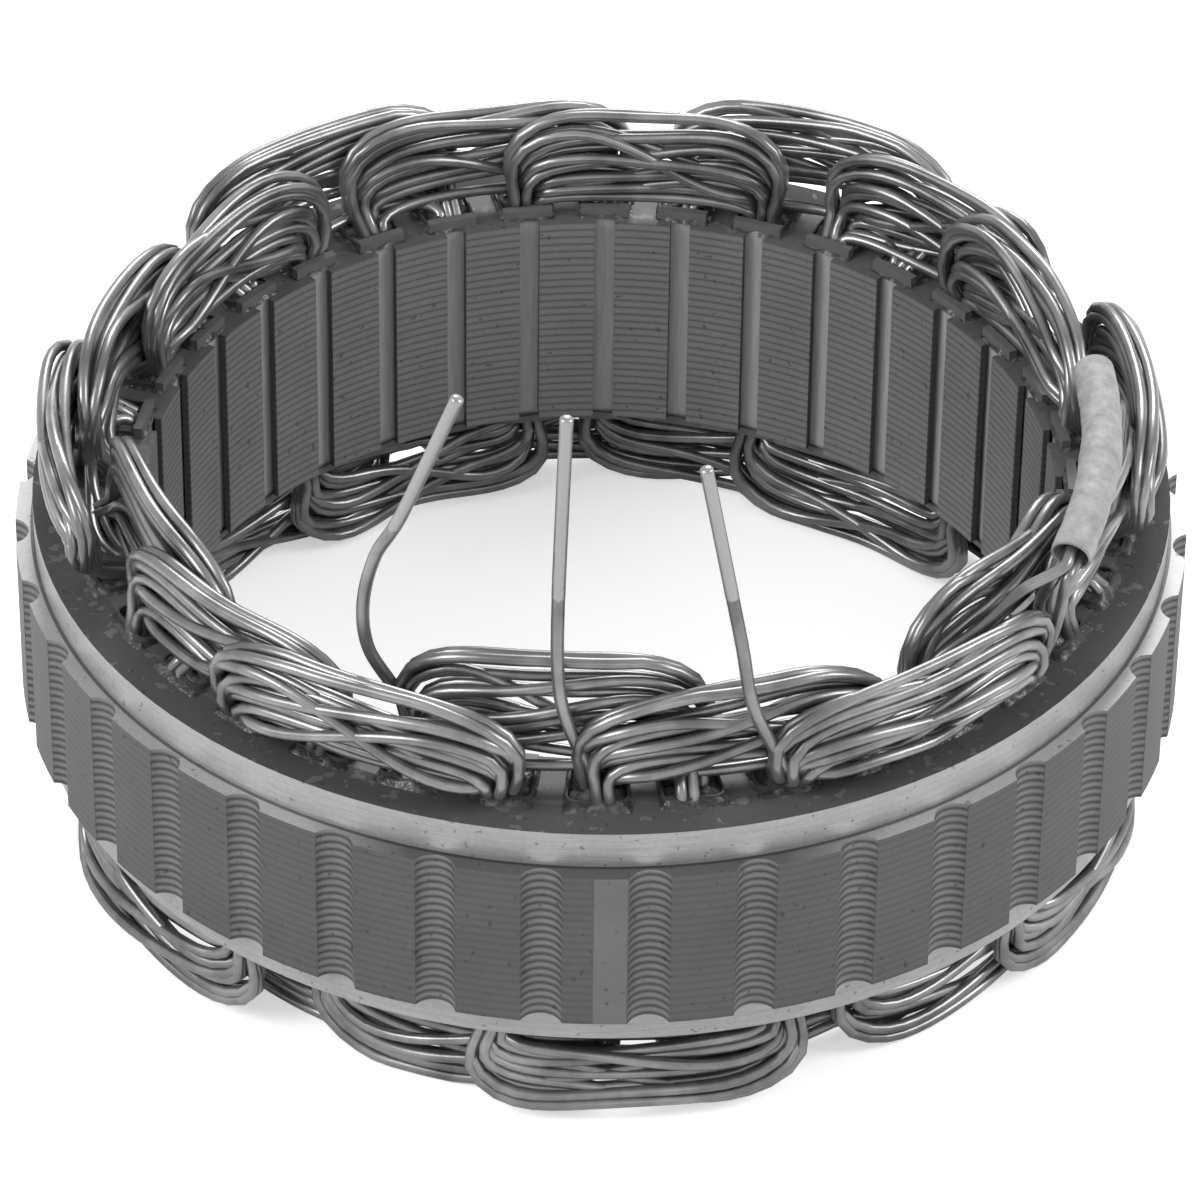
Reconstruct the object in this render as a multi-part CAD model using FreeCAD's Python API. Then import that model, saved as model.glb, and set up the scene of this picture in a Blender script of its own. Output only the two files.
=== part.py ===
import FreeCAD, Part
import math
import os

os.makedirs("parts", exist_ok=True)

# A wound stator for a claw-pole alternator. The bore axis is Z, the lead wires
# stand at the front (-Y), and Z = 0 is the lowest point of the lower end turns.
# Angles are in degrees about +Z, counted from the front towards +X.

# Lamination stack
slot_count = 36
bore_radius = 51.5
tooth_length = 8.5
yoke_thickness = 4.4
land_thickness = 2.1
stack_height = 28.4
upper_register_height = 4.4
lower_register_height = 3.8

# Slots and teeth
slot_opening = 2.4
tooth_width = 3.3
tooth_tip_thickness = 0.8
tooth_tip_slope = 0.5
slot_corner_radius = 1.2

# Outer flutes, one behind each tooth, round in section
flute_width = 4.5
flute_depth = 1.5

# Slot insulation
liner_thickness = 0.25
liner_overhang = 0.9
liner_clearance = 0.05
wedge_thickness = 1.0
wedge_overhang = 1.3
wedge_clearance = 0.05

# Windings: each phase is one wave of upright bands that span three slots
slots_per_phase_step = 3
conductor_clearance = 0.08
band_thickness = 2.9
band_gap = 0.4
band_foot_height = 2.6
band_leg_width = 4.2
band_corner_radius = 7.0
band_rows = 6
band_groove_depth = 0.4
band_setback = 0.25
inner_band_rise = 15.0
middle_band_rise = 14.0
outer_band_rise = 13.4
inner_band_drop = 13.3
middle_band_drop = 13.3
outer_band_drop = 12.6

# Leads, neutral tails and the insulating sleeve
inner_lead_rise = 50.0
middle_lead_rise = 50.0
outer_lead_rise = 45.0
lead_radius = 0.74
tail_radius = 0.64
sleeve_radius = 2.4
sleeve_wall = 0.45
joint_clearance = 0.25
joint_length = 11.0
tail_spacing = 0.82
tail_end_gap = 0.2
wire_bend_radius = 14.0
wire_bend_share = 0.48

# Worked out from the sizes above
slot_pitch = 360.0 / slot_count
slot_floor_radius = bore_radius + tooth_length
register_radius = slot_floor_radius + yoke_thickness
land_radius = register_radius + land_thickness
tip_back_radius = bore_radius + tooth_tip_thickness
slot_shoulder_radius = tip_back_radius + tooth_tip_slope
wedge_inner_radius = slot_shoulder_radius + wedge_clearance
wedge_outer_radius = wedge_inner_radius + wedge_thickness
conductor_inner_radius = wedge_outer_radius + conductor_clearance
conductor_margin = liner_clearance + liner_thickness + conductor_clearance
lowest_turn_drop = max(inner_band_drop, middle_band_drop, outer_band_drop)
stack_base = lowest_turn_drop
stack_top = stack_base + stack_height
conductor_overhang = wedge_overhang + wedge_clearance
inner_band_radius = wedge_inner_radius + band_setback + band_thickness / 2
middle_band_radius = inner_band_radius + band_thickness + band_gap
outer_band_radius = middle_band_radius + band_thickness + band_gap
band_pitch = band_thickness + band_gap
up = FreeCAD.Vector(0, 0, 1)
axis_point = FreeCAD.Vector(0, 0, 0)


def spot(angle, radius, height):
    # Point at an angle from the front, a distance from the bore axis, and a height.
    turn = math.radians(angle)
    return FreeCAD.Vector(radius * math.sin(turn), -radius * math.cos(turn), height)


def turned(shape, angle):
    # Copy of a shape turned about the bore axis.
    copy = shape.copy()
    copy.rotate(axis_point, up, angle)
    return copy


def side_angle(radius, margin):
    # Half angle of a slot at one radius, where its walls run parallel to the teeth.
    return slot_pitch / 2 - math.degrees(math.asin((tooth_width / 2 + margin) / radius))


def slot_prism(inner, outer, margin, base, height, corner):
    # Solid that fills the front slot between two radii, with a margin to its walls.
    inner_half = side_angle(inner, margin)
    outer_half = side_angle(outer, margin)
    left_in = spot(-inner_half, inner, base)
    right_in = spot(inner_half, inner, base)
    right_out = spot(outer_half, outer, base)
    left_out = spot(-outer_half, outer, base)
    floor = Part.Arc(right_out, spot(0, outer, base), left_out).toShape()
    sides = [Part.makeLine(left_in, right_in), Part.makeLine(right_in, right_out), floor]
    sides.append(Part.makeLine(left_out, left_in))
    prism = Part.Face(Part.Wire(sides)).extrude(FreeCAD.Vector(0, 0, height))
    if corner == 0:
        return prism
    corners = []
    for edge in prism.Edges:
        middle = edge.CenterOfMass
        upright = abs(edge.tangentAt(edge.FirstParameter).z) > 0.99
        if upright and math.hypot(middle.x, middle.y) > (inner + outer) / 2:
            corners.append(edge)
    return prism.makeFillet(corner, corners)


def slot_void():
    # The whole cut of the front slot: mouth, sloped tip backs and body.
    body = slot_prism(slot_shoulder_radius, slot_floor_radius, 0, stack_base,
                      stack_height, slot_corner_radius)
    half = slot_opening / 2
    wide = side_angle(slot_shoulder_radius, 0)
    wide_x = slot_shoulder_radius * math.sin(math.radians(wide))
    wide_y = -slot_shoulder_radius * math.cos(math.radians(wide))
    start = -bore_radius + tooth_tip_thickness
    corners = [(-half, start), (half, start), (half, -tip_back_radius), (wide_x, wide_y)]
    corners += [(-wide_x, wide_y), (-half, -tip_back_radius), (-half, start)]
    points = [FreeCAD.Vector(x, y, stack_base) for x, y in corners]
    mouth = Part.Face(Part.makePolygon(points)).extrude(FreeCAD.Vector(0, 0, stack_height))
    return body.fuse(mouth)


def flute_void(base, height):
    # Round-bottomed flute behind the tooth next to the front slot.
    half = flute_width / 2
    reach = math.sqrt(land_radius ** 2 - half ** 2)
    section_radius = (half ** 2 + flute_depth ** 2) / (2 * flute_depth)
    centre = FreeCAD.Vector(0, -(reach + section_radius - flute_depth), base)
    return turned(Part.makeCylinder(section_radius, height, centre), slot_pitch / 2)


def build_stack():
    # One stack of notched sheets: a round register at each end, fluted between them.
    fluted_base = stack_base + lower_register_height
    fluted_height = stack_height - lower_register_height - upper_register_height
    fluted = Part.makeCylinder(land_radius, fluted_height, FreeCAD.Vector(0, 0, fluted_base))
    flute = flute_void(fluted_base, fluted_height)
    fluted = fluted.cut([turned(flute, slot_pitch * k) for k in range(slot_count)])
    core = Part.makeCylinder(register_radius, stack_height, FreeCAD.Vector(0, 0, stack_base))
    body = core.fuse(fluted)
    bore = Part.makeCylinder(bore_radius, stack_height, FreeCAD.Vector(0, 0, stack_base))
    slot = slot_void()
    cuts = [bore] + [turned(slot, slot_pitch * k) for k in range(slot_count)]
    return body.cut(cuts)


def build_liner():
    # U-shaped paper liner of the front slot, open towards the bore.
    base = stack_base - liner_overhang
    height = stack_height + 2 * liner_overhang
    outer = slot_prism(conductor_inner_radius, slot_floor_radius - liner_clearance,
                       liner_clearance, base, height, slot_corner_radius)
    inner = slot_prism(wedge_inner_radius, slot_floor_radius - liner_clearance - liner_thickness,
                       liner_clearance + liner_thickness, base, height,
                       slot_corner_radius - liner_thickness)
    return outer.cut(inner)


def build_wedge():
    # Closing strip of the front slot, behind the tooth tips.
    return slot_prism(wedge_inner_radius, wedge_outer_radius, liner_clearance,
                      stack_base - wedge_overhang, stack_height + 2 * wedge_overhang, 0)


def build_conductors():
    # The packed straight wires in the front slot.
    return slot_prism(conductor_inner_radius, slot_floor_radius - conductor_margin,
                      conductor_margin, stack_base - conductor_overhang,
                      stack_height + 2 * conductor_overhang, slot_corner_radius)


def foot_section(inner, outer, inner_half, outer_half, height):
    # Closed four-sided outline across the front slot, half widths in millimetres.
    corners = [(-inner_half, -inner), (inner_half, -inner), (outer_half, -outer)]
    corners += [(-outer_half, -outer), (-inner_half, -inner)]
    return Part.makePolygon([FreeCAD.Vector(x, y, height) for x, y in corners])


def build_foot(band_radius):
    # Bend of the wires from the front slot out to their band, above the stack.
    inner = conductor_inner_radius
    outer = slot_floor_radius - conductor_margin
    inner_half = inner * math.sin(math.radians(side_angle(inner, conductor_margin)))
    outer_half = outer * math.sin(math.radians(side_angle(outer, conductor_margin)))
    start = stack_top + conductor_overhang - conductor_clearance
    end = stack_top + band_foot_height + conductor_clearance
    half = band_thickness / 2 - conductor_clearance
    lower = foot_section(inner, outer * math.cos(math.radians(slot_pitch / 2)),
                         inner_half, outer_half, start)
    upper = foot_section(band_radius - half, band_radius + half,
                         band_leg_width / 2, band_leg_width / 2, end)
    return Part.makeLoft([lower, upper], True, True)


def band_section(band_radius, foot, top, angle):
    # Upright section of a band: rows of wires show as ridges on both faces.
    inner = band_radius - band_thickness / 2
    outer = band_radius + band_thickness / 2
    row = (top - foot) / band_rows
    inner_side = []
    outer_side = []
    for index in range(band_rows):
        low = foot + row * index
        inner_side += [(inner + band_groove_depth, low), (inner, low + row / 4)]
        inner_side.append((inner, low + row * 3 / 4))
        outer_side += [(outer - band_groove_depth, low), (outer, low + row / 4)]
        outer_side.append((outer, low + row * 3 / 4))
    inner_side.append((inner + band_groove_depth, top))
    outer_side.append((outer - band_groove_depth, top))
    outline = inner_side + outer_side[::-1] + inner_side[:1]
    return Part.Face(Part.makePolygon([spot(angle, r, z) for r, z in outline]))


def arch_outline(half_width, foot, top):
    # Front view of an end turn: upright legs and two large rounded corners.
    corner = band_corner_radius
    bend = corner * (1 - math.sqrt(0.5))
    left_low = FreeCAD.Vector(-half_width, 0, foot)
    left_high = FreeCAD.Vector(-half_width, 0, top - corner)
    left_bend = FreeCAD.Vector(-half_width + bend, 0, top - bend)
    left_top = FreeCAD.Vector(-half_width + corner, 0, top)
    right_top = FreeCAD.Vector(half_width - corner, 0, top)
    right_bend = FreeCAD.Vector(half_width - bend, 0, top - bend)
    right_high = FreeCAD.Vector(half_width, 0, top - corner)
    right_low = FreeCAD.Vector(half_width, 0, foot)
    edges = [Part.makeLine(left_low, left_high),
             Part.Arc(left_high, left_bend, left_top).toShape(),
             Part.makeLine(left_top, right_top),
             Part.Arc(right_top, right_bend, right_high).toShape(),
             Part.makeLine(right_high, right_low), Part.makeLine(right_low, left_low)]
    return Part.Face(Part.Wire(edges))


def build_band(band_radius, rise):
    # One end turn: an upright arch over three slot pitches, from the front slot.
    foot = stack_top + band_foot_height
    top = stack_top + rise
    span = slot_pitch * slots_per_phase_step
    half_width = band_radius * math.sin(math.radians(span / 2)) + band_leg_width / 2
    section = band_section(band_radius, foot, top, -span)
    ring = section.revolve(axis_point, up, 2 * span)
    arch = arch_outline(half_width, foot, top).extrude(FreeCAD.Vector(0, -land_radius, 0))
    return turned(ring.common(arch), span / 2)


def bent_path(points):
    # Straight runs between the points, each corner rounded by an arc.
    edges = []
    start = points[0]
    for before, corner, after in zip(points, points[1:], points[2:]):
        back = before - corner
        ahead = after - corner
        half = back.getAngle(ahead) / 2
        setback = min(wire_bend_radius / math.tan(half), back.Length * wire_bend_share,
                      ahead.Length * wire_bend_share)
        entry = corner + back.normalize() * setback
        leave = corner + ahead.normalize() * setback
        inward = (back + ahead).normalize()
        middle = corner + inward * (setback / math.cos(half) - setback * math.tan(half))
        edges.append(Part.makeLine(start, entry))
        edges.append(Part.Arc(entry, middle, leave).toShape())
        start = leave
    edges.append(Part.makeLine(start, points[-1]))
    return Part.Wire(edges)


def wire_run(points, radius):
    # Round wire bent along a few points.
    ring = Part.Wire([Part.Circle(points[0], points[1] - points[0], radius).toShape()])
    return bent_path(points).makePipe(Part.Face(ring))


def above(route):
    # Route given as angle, radius and height over the stack, as points.
    return [spot(angle, radius, stack_top + height) for angle, radius, height in route]


def build_phase(band_radius, rise, drop, first_slot, runs):
    # One phase: its slot conductors, upper and lower end turns, lead and neutral tail.
    conductors = build_conductors()
    foot = build_foot(band_radius)
    middle_height = stack_base + stack_height / 2
    mirror_point = FreeCAD.Vector(0, 0, middle_height)
    upper = build_band(band_radius, rise)
    lower = build_band(band_radius, drop).mirror(mirror_point, up)
    lower_foot = foot.mirror(mirror_point, up)
    pieces = []
    for turn in range(slot_count // slots_per_phase_step):
        angle = slot_pitch * (first_slot + turn * slots_per_phase_step)
        pieces.append(turned(conductors, angle))
        pieces.append(turned(foot, angle))
        pieces.append(turned(lower_foot, angle))
        if turn % 2 == 0:
            pieces.append(turned(upper, angle))
        else:
            pieces.append(turned(lower, angle))
    return pieces[0].multiFuse(pieces[1:] + runs).removeSplitter()


# Route of the sleeve from its open end: angle, steps of one band outwards from the
# middle band, and sleeve radii above where it would rest on that band.
sleeve_rest = middle_band_rise + sleeve_radius
sleeve_steps = [(56.3, 1, -0.6), (62.3, 0.62, 0.2), (68.8, 0.15, 0.25),
                (75, -0.25, 0.21), (82, -0.65, 0.17), (88.5, -0.9, 0.04)]
sleeve_route = [(angle, middle_band_radius + out * band_pitch, sleeve_rest + lift * sleeve_radius)
                for angle, out, lift in sleeve_steps]


def sleeve_point(distance, offset, turn):
    # Point beside the sleeve's centre line: distance along it, offset across it.
    line = bent_path(above(sleeve_route))
    for edge in line.Edges:
        if distance <= edge.Length:
            break
        distance = distance - edge.Length
    parameter = edge.getParameterByLength(min(distance, edge.Length))
    centre = edge.valueAt(parameter)
    tangent = edge.tangentAt(parameter)
    across = tangent.cross(up).normalize()
    over = across.cross(tangent).normalize()
    angle = math.radians(turn)
    return centre + across * (offset * math.cos(angle)) + over * (offset * math.sin(angle))


def build_sleeve():
    # Woven tube over the neutral joint, open at both ends.
    points = above(sleeve_route)
    return wire_run(points, sleeve_radius).cut(wire_run(points, sleeve_radius - sleeve_wall))


def joint_start():
    # The joint lies in the middle of the sleeve's length.
    return (bent_path(above(sleeve_route)).Length - joint_length) / 2


def build_joint():
    # Soldered bundle of the three neutral ends, inside the sleeve.
    stations = [joint_start() + joint_length * k / 3 for k in range(4)]
    points = [sleeve_point(distance, 0, 0) for distance in stations]
    return wire_run(points, sleeve_radius - sleeve_wall - joint_clearance)


def build_tail(route, turn):
    # Neutral tail: from its slot up into the sleeve, as far as the joint.
    stations = [0, joint_start() / 2, joint_start() - tail_end_gap]
    points = above(route) + [sleeve_point(distance, tail_spacing, turn) for distance in stations]
    return wire_run(points, tail_radius)


def route(band_radius, rise, steps):
    # Steps give the angle, bands outwards from the wire's own band, and share of the rise.
    return [(angle, band_radius + out * band_pitch, share * rise) for angle, out, share in steps]


inner_lead = route(inner_band_radius, inner_lead_rise, [
    (-20.6, 0, 0.07), (-23.4, 0.12, 0.17), (-25.9, 0.5, 0.28), (-26.3, 0.6, 0.4),
    (-24.6, 0.7, 0.54), (-21.4, 0.73, 0.67), (-15.2, 0.73, 1)])
middle_lead = route(middle_band_radius, middle_lead_rise, [
    (-0.6, 0, 0.07), (-3, 0, 0.18), (-4.2, 0, 0.3), (-4.3, 0.06, 0.52), (-3.6, 0.15, 1)])
outer_lead = route(outer_band_radius, outer_lead_rise, [
    (19.5, 0, 0.08), (17.2, 0, 0.19), (15.3, 0, 0.31), (14.2, 0, 0.47), (12.9, 0, 0.64),
    (10.2, -0.12, 1)])
inner_tail = route(inner_band_radius, inner_band_rise, [
    (38.6, 0, 0.24), (40.5, 0.48, 0.5), (45.5, 1.06, 0.7), (50.5, 1.35, 0.86), (54, 2.14, 1)])
middle_tail = route(middle_band_radius, middle_band_rise, [
    (59.4, 0, 0.26), (56.2, 0.06, 0.4), (54.4, 0.3, 0.66), (54, 0.92, 0.98)])
outer_tail = route(outer_band_radius, outer_band_rise, [
    (50.6, 0, 0.27), (53.2, 0, 0.4), (54.2, 0.12, 0.68), (54, 0.35, 1.025)])

nodes = {}
nodes["lamination_stack"] = build_stack()
liner = build_liner()
wedge = build_wedge()
liners = [turned(liner, slot_pitch * k) for k in range(slot_count)]
nodes["slot_liners"] = Part.makeCompound(liners)
for slot_index in range(slot_count):
    name = "slot_wedge_" + str(slot_index + 1).zfill(2)
    nodes[name] = turned(wedge, slot_pitch * slot_index)

nodes["inner_phase_winding"] = build_phase(
    inner_band_radius, inner_band_rise, inner_band_drop, 4,
    [wire_run(above(inner_lead), lead_radius), build_tail(inner_tail, 90)])
nodes["middle_phase_winding"] = build_phase(
    middle_band_radius, middle_band_rise, middle_band_drop, 6,
    [wire_run(above(middle_lead), lead_radius), build_tail(middle_tail, 210)])
nodes["outer_phase_winding"] = build_phase(
    outer_band_radius, outer_band_rise, outer_band_drop, 2,
    [wire_run(above(outer_lead), lead_radius), build_tail(outer_tail, 330)])
nodes["neutral_sleeve"] = build_sleeve()
nodes["neutral_joint"] = build_joint()

for name, shape in nodes.items():
    shape.exportStep("parts/" + name + ".step")
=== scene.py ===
import math

import bmesh
import bpy
import mathutils
import numpy as np
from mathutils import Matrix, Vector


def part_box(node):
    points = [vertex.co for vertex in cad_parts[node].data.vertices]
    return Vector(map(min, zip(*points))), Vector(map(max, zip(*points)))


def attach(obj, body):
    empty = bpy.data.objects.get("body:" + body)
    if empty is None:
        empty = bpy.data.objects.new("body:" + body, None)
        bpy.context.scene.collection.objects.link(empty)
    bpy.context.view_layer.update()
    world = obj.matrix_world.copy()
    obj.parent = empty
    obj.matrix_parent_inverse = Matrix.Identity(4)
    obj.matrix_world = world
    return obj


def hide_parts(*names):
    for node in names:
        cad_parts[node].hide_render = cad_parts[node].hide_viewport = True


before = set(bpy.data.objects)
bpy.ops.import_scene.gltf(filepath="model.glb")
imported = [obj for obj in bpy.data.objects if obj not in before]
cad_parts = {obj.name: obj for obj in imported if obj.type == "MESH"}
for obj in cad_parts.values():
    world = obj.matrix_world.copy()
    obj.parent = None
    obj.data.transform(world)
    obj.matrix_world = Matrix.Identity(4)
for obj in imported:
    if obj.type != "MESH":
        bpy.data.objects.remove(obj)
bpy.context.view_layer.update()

print("stage: frame loaded")

mm = 0.001

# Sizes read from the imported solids, in metres
stackLow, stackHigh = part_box("lamination_stack")
stackBase = stackLow[2]
stackTop = stackHigh[2]
landRadius = stackHigh[0]

stack = {
    "sheetCount": 28,            # pressed sheets in the stack
    "upperRegister": 4.4 * mm,
    "lowerRegister": 3.8 * mm,
    "registerRadius": 64.4 * mm,
    "slotFloorRadius": 60.0 * mm,
    "boreRadius": 51.5 * mm,
    "slots": 36,
    "slotPitch": 10.0,           # degrees
    "turnSlots": 3,              # slots from one leg of an end turn to the other
}

# One entry for each phase: where its first slot is, its band and how far the end turns reach.
# A wire that crosses others passes them on the side crossSides gives, -1 inwards and 1 outwards,
# for each column. One end turn of the inner phase, by its angle, stands higher than the rest.
phases = {
    "inner": {"firstSlot": 4, "band": 54.55 * mm, "rise": 15.0 * mm, "drop": 13.3 * mm, "seed": 11,
              "crossSides": (-1, -1), "crossReach": 1.1 * mm, "lifted": {355.0: 1.5 * mm}},
    "middle": {"firstSlot": 6, "band": 57.85 * mm, "rise": 14.0 * mm, "drop": 13.3 * mm, "seed": 23,
               "crossSides": (-1, 1), "crossReach": 0.85 * mm, "lifted": {}},
    "outer": {"firstSlot": 2, "band": 61.15 * mm, "rise": 13.4 * mm, "drop": 12.6 * mm, "seed": 37,
              "crossSides": (1, 1), "crossReach": 1.1 * mm, "lifted": {}},
}

wire = {
    "radius": 0.66 * mm,
    "sides": 10,
    "rows": 8,                   # wires above each other in an end turn
    "columns": 2,                # wires behind each other in an end turn
    "turnPoints": 26,            # points along one end turn
    "lowest": 1.2 * mm,          # underside of an end turn, above the stack
    "legStart": 0.8 * mm,        # height above the stack at which a turn leaves its slots
    "legSpread": 1.25 * mm,      # between wires beside each other in a slot
    "slotAcross": 3,             # wires beside each other in a slot
    "slotInner": 54.6 * mm,      # radius of the innermost wire in a slot
    "slotStep": 0.98 * mm,       # between wires behind each other in a slot
    "slotDeep": 3,               # wires of each column behind each other in a slot
    "packStep": 0.45 * mm,       # the same step where the wires draw together above the slot
    "leaveOver": 2.4 * mm,       # height over which they draw together
    "spreadFrom": 0.35,          # share of the height from which they move to their columns
    "spreadOver": 0.5,
    "inSlot": 1.5 * mm,          # how far a turn's ends go below the stack's end
    "roundness": (3.1, 4.6),     # 2 is an ellipse, more is squarer
    "heightShare": 0.55,         # weight of height against width in a turn's equal steps
    "crossings": 3,              # wires that climb over the others in each turn and column
    "jumps": (-3, -2, 2, 3, 4),  # rows that such a wire climbs or falls
    "crossPace": 1.3,            # more than 1 ends the change of row before the far leg
    "crossFlat": 1.25,           # more than 1 holds the wire aside for longer
    "bulge": 1.7 * mm,           # how far a turn swells past its slots on the way up
    "bulgeShape": 1.4,           # more than 1 swells most above mid height
    "bulgeGrowth": 1.5,          # power of a row's share of the height: low rows swell less
    "lean": 0.5 * mm,
    "sag": 0.7 * mm,
    "sagWaves": (1, 2.5),        # half waves along a turn
    "looseUp": 0.2 * mm,
    "looseOut": 0.13 * mm,
    "looseWaves": (1.5, 3),
    "waveStart": (0, 6),         # radians
}


def hexColour(code):
    # linear = ((c + 0.055) / 1.055) ** 2.4 above 0.04045, c / 12.92 below
    channels = [int(code[k:k + 2], 16) / 255 for k in (1, 3, 5)]
    linear = [c / 12.92 if c <= 0.04045 else ((c + 0.055) / 1.055) ** 2.4 for c in channels]
    return (*linear, 1.0)


def addNode(tree, kind, settings=None, inputs=None):
    # An input that comes from another node is linked, any other value is set
    node = tree.nodes.new(kind)
    for name, value in (settings or {}).items():
        setattr(node, name, value)
    for socket, value in (inputs or {}).items():
        if isinstance(value, bpy.types.NodeSocket):
            tree.links.new(value, node.inputs[socket])
        else:
            node.inputs[socket].default_value = value
    return node


def newMaterial(name):
    material = bpy.data.materials.new(name)
    material.use_nodes = True
    tree = material.node_tree
    return material, tree, tree.nodes["Principled BSDF"]


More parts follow.
